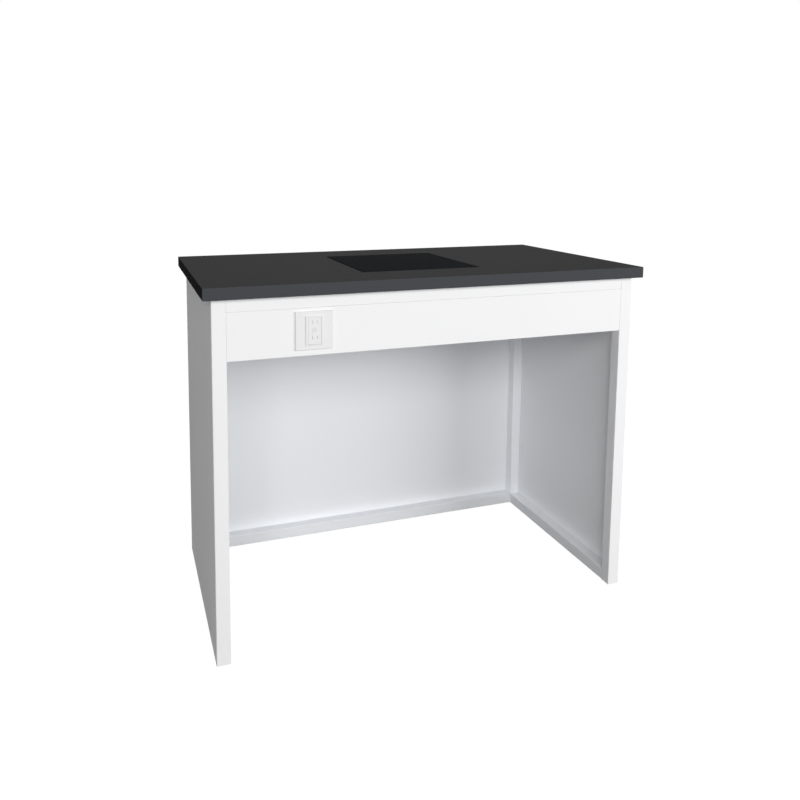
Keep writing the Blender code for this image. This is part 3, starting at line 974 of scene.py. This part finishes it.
class BALANCE_TABLE_OT_outlet(bpy.types.Operator):
    """Finishes the outlet's cover, receptacle and buttons, and models its shutters and screws"""

    bl_idname = "balance_table.outlet"
    bl_label = "Outlet"

    STEPS = 32
    HEAD_CROWN = 0.6 * MM
    SHOULDER_RADIUS_SHARE = 0.75
    SHOULDER_HEIGHT_SHARE = 0.25
    SCREW_SLOT_WIDTH = 0.8 * MM
    SCREW_SLOT_REACH = 3
    SLOT_SETBACK = 2.4 * MM
    HOLE_SETBACK = 0.5 * MM
    SHUTTER_THICKNESS = 2.0 * MM
    SHUTTER_CLEARANCE = 0.05 * MM
    SHUTTER_EDGE = 0.15 * MM
    FACES_FRONT = 0.99
    PLACES = 6

    def execute(self, context):
        coat_nodes(OUTLET_PLASTIC, "white_moulded_plastic")
        coat_nodes(["receptacle_yoke"], "zinc_plated_steel")
        for number, (low, high) in enumerate(self.openings(), 1):
            shutter = self.model_shutter(f"socket_shutter_{number}", low, high)
            finish_piece(shutter, "white_moulded_plastic", "base")
        screw = self.model_screw()
        for level in ("lower", "upper"):
            node = f"yoke_screw_{level}"
            low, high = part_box(node)
            centre = (low + high) / 2
            piece = copy_piece(screw, f"slotted_yoke_screw_{level}")
            set_in_place(piece, (centre.x, low.y, centre.z), (0, 1, 0))
            finish_piece(piece, "zinc_plated_steel", "base", node)
        bpy.data.objects.remove(screw)
        return {"FINISHED"}

    def openings(self):
        """The slots and earth holes of the receptacle, each as the corners of its floor."""
        shape = bmesh.new()
        shape.from_mesh(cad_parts["receptacle"].data)
        facing = [face for face in shape.faces if -face.normal.y > self.FACES_FRONT]
        deepest = max(face.calc_center_median().y for face in facing)
        floors = []
        for face in facing:
            if face.calc_center_median().y > deepest - MERGE_DISTANCE:
                points = {point.co.to_tuple(self.PLACES) for point in face.verts}
                joined = [floor for floor in floors if floor & points]
                floors = [floor for floor in floors if not floor & points]
                floors.append(points.union(*joined))
        shape.free()
        corners = [
            [Vector(pick(axis) for axis in zip(*floor)) for pick in (min, max)] for floor in floors
        ]
        return sorted(corners, key=lambda corner: (corner[0].z, corner[0].x))

    def model_shutter(self, name, low, high):
        """A plate just behind the face that closes a slot, or a disc that closes a round hole."""
        room = 2 * self.SHUTTER_CLEARANCE
        size = high - low - Vector((room, 0, room))
        is_round = abs(size.x - size.z) < self.SHUTTER_CLEARANCE
        setback = self.HOLE_SETBACK if is_round else self.SLOT_SETBACK
        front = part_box("receptacle")[0].y + setback
        place = (low + high) / 2
        place.y = front + self.SHUTTER_THICKNESS / 2
        if is_round:
            shutter = new_piece(
                name,
                bpy.ops.mesh.primitive_cylinder_add,
                vertices=self.STEPS,
                radius=size.x / 2,
                depth=self.SHUTTER_THICKNESS,
                location=place,
                rotation=(math.pi / 2, 0, 0),
            )
        else:
            shutter = new_piece(name, bpy.ops.mesh.primitive_cube_add, size=1, location=place)
            shutter.scale = (size.x, self.SHUTTER_THICKNESS, size.z)
        apply_place(shutter)
        round_edges(
            shutter,
            lambda edge: all(v.co.y < front + MERGE_DISTANCE for v in edge.verts),
            self.SHUTTER_EDGE,
        )
        return shutter

    def model_screw(self):
        """Crowned head at the foot of Z with a slot across it, and a plain shank above."""
        length, shank, head_radius, head = headed_sizes("yoke_screw_upper", 1)
        shoulder_height = self.HEAD_CROWN * self.SHOULDER_HEIGHT_SHARE
        profile = [
            (0, length),
            (shank, length),
            (shank, head),
            (head_radius, head),
            (head_radius, self.HEAD_CROWN),
            (head_radius * self.SHOULDER_RADIUS_SHARE, shoulder_height),
            (0, 0),
        ]
        screw = turned_piece("yoke_screw_model", profile, self.STEPS)
        slot = new_piece("slot_model", bpy.ops.mesh.primitive_cube_add, size=1)
        slot.scale = (self.SCREW_SLOT_WIDTH, self.SCREW_SLOT_REACH * head_radius, head)
        combine(screw, slot, "DIFFERENCE")
        return screw


class BALANCE_TABLE_OT_outlet_box(bpy.types.Operator):
    """Plates the outlet box and models its cable gland, rubber seal and toothed locknut"""

    bl_idname = "balance_table.outlet_box"
    bl_label = "Outlet box and gland"

    STEPS = 48
    CHAMFER = 1.0 * MM
    RIB_EVERY = 4
    RIB_DEPTH = 0.5 * MM
    SEAL_CLEARANCE = 0.2 * MM
    NUT_CLEARANCE = 0.3 * MM
    TOOTH_EVERY = 6
    TOOTH_WIDTH = 2
    TOOTH_DEPTH = 1.2 * MM
    TOOTH_RISE = 1.14 * MM
    RIM_READING = 0.1 * MM

    def execute(self, context):
        coat_nodes(["outlet_box"], "zinc_plated_steel")
        seal_wall = context.scene.balance_table_hardware.seal_wall
        low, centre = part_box("cable_gland")[0], middle_of("cable_gland")
        sizes = self.gland_sizes()
        gland = self.model_gland(sizes, seal_wall)
        set_in_place(gland, (centre.x, low.y, centre.z), (0, 1, 0))
        finish_piece(gland, "grey_nylon", "base", "cable_gland")
        seal = self.model_seal(sizes, seal_wall)
        set_in_place(seal, (centre.x, low.y, centre.z), (0, 1, 0))
        finish_piece(seal, "isolator_rubber", "base")
        nut_low, nut_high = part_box("gland_nut")
        nut = self.model_nut(nut_low, nut_high, sizes["tail"])
        set_in_place(nut, (centre.x, nut_low.y, centre.z), (0, 1, 0))
        finish_piece(nut, "zinc_plated_steel", "base", "gland_nut")
        return {"FINISHED"}

    def gland_sizes(self):
        """Radii and heights of the gland, read from the node that it stands for."""
        points = about_axis("cable_gland", 1)
        flange = max(radius for radius, _ in points)
        on_flange = [height for radius, height in points if radius > flange - MERGE_DISTANCE]
        return {
            "bore": min(radius for radius, _ in points),
            "tail": max(radius for radius, height in points if height < MERGE_DISTANCE),
            "flange": flange,
            "flange_low": min(on_flange),
            "flange_high": max(on_flange),
            "length": max(height for _, height in points),
        }

    def sector(self, face):
        """Which of the steps round Z a face lies in."""
        centre = face.calc_center_median()
        return int((math.atan2(centre.y, centre.x) % FULL_TURN) / (FULL_TURN / self.STEPS))

    def model_gland(self, sizes, seal_wall):
        """Threaded tail, flange and a ribbed cap that narrows to the seal."""
        length, tail, flange = sizes["length"], sizes["tail"], sizes["flange"]
        inner = sizes["bore"] + seal_wall
        cap_low, cap_high = sizes["flange_high"] + self.CHAMFER, length - self.CHAMFER
        profile = [
            (inner, length),
            (tail - self.CHAMFER, length),
            (tail, cap_high),
            (flange - self.CHAMFER, cap_low),
            (flange, sizes["flange_high"]),
            (flange, sizes["flange_low"]),
            (tail, sizes["flange_low"]),
            (tail, 0),
            (inner, 0),
            (inner, length),
        ]
        gland = turned_piece("ribbed_cable_gland", profile, self.STEPS)

        def on_groove(face):
            centre = face.calc_center_median()
            on_cap = cap_low < centre.z < cap_high and centre.xy.length > inner
            return on_cap and self.sector(face) % self.RIB_EVERY == 0

        with editing(gland):
            select(gland, on_groove)
            bpy.ops.mesh.extrude_region_shrink_fatten(
                TRANSFORM_OT_shrink_fatten={"value": -self.RIB_DEPTH}
            )
        return gland

    def model_seal(self, sizes, seal_wall):
        inner, low = sizes["bore"], sizes["flange_low"]
        outer = inner + seal_wall - self.SEAL_CLEARANCE
        high = sizes["length"] - self.CHAMFER
        profile = [(inner, high), (outer, high), (outer, low), (inner, low), (inner, high)]
        return turned_piece("gland_seal", profile, self.STEPS)

    def model_nut(self, low, high, bore):
        """A ring with lugs round its rim."""
        height, outer = high.y - low.y, (high.x - low.x) / 2
        inner = bore + self.NUT_CLEARANCE
        rim = outer - self.TOOTH_DEPTH
        profile = [(inner, height), (rim, height), (rim, 0), (inner, 0), (inner, height)]
        nut = turned_piece("toothed_gland_nut", profile, self.STEPS)

        def on_lug(face):
            on_rim = face.calc_center_median().xy.length > rim - self.RIM_READING
            return on_rim and self.sector(face) % self.TOOTH_EVERY < self.TOOTH_WIDTH

        with editing(nut):
            select(nut, on_lug)
            bpy.ops.mesh.extrude_region_shrink_fatten(
                TRANSFORM_OT_shrink_fatten={"value": self.TOOTH_RISE}
            )
        return nut


class BALANCE_TABLE_PT_panel(bpy.types.Panel):
    """Lists the settings and the steps that dress the table"""

    bl_idname = "BALANCE_TABLE_PT_panel"
    bl_label = "Balance table"
    bl_space_type = "VIEW_3D"
    bl_region_type = "UI"
    bl_category = "Balance table"

    def draw(self, context):
        for operator in OPERATORS:
            self.layout.operator(operator.bl_idname)
        for group in SETTINGS:
            settings = getattr(context.scene, group)
            for name in settings.__annotations__:
                self.layout.prop(settings, name)


SETTINGS = {
    "balance_table_stage": StageSettings,
    "balance_table_finish": FinishSettings,
    "balance_table_hardware": HardwareSettings,
}
OPERATORS = (
    BALANCE_TABLE_OT_stage,
    BALANCE_TABLE_OT_steelwork,
    BALANCE_TABLE_OT_worktop,
    BALANCE_TABLE_OT_slab,
    BALANCE_TABLE_OT_isolators,
    BALANCE_TABLE_OT_cradle,
    BALANCE_TABLE_OT_feet,
    BALANCE_TABLE_OT_outlet,
    BALANCE_TABLE_OT_outlet_box,
)
CLASSES = (*SETTINGS.values(), *OPERATORS, BALANCE_TABLE_PT_panel)


def register():
    for kind in CLASSES:
        bpy.utils.register_class(kind)
    for name, kind in SETTINGS.items():
        setattr(bpy.types.Scene, name, PointerProperty(type=kind))


def unregister():
    for name in SETTINGS:
        delattr(bpy.types.Scene, name)
    for kind in reversed(CLASSES):
        bpy.utils.unregister_class(kind)


def main():
    register()
    bpy.ops.balance_table.stage()
    bpy.ops.balance_table.steelwork()
    bpy.ops.balance_table.worktop()
    bpy.ops.balance_table.slab()
    bpy.ops.balance_table.isolators()
    bpy.ops.balance_table.cradle()
    bpy.ops.balance_table.feet()
    bpy.ops.balance_table.outlet()
    bpy.ops.balance_table.outlet_box()


if __name__ == "__main__":
    main()
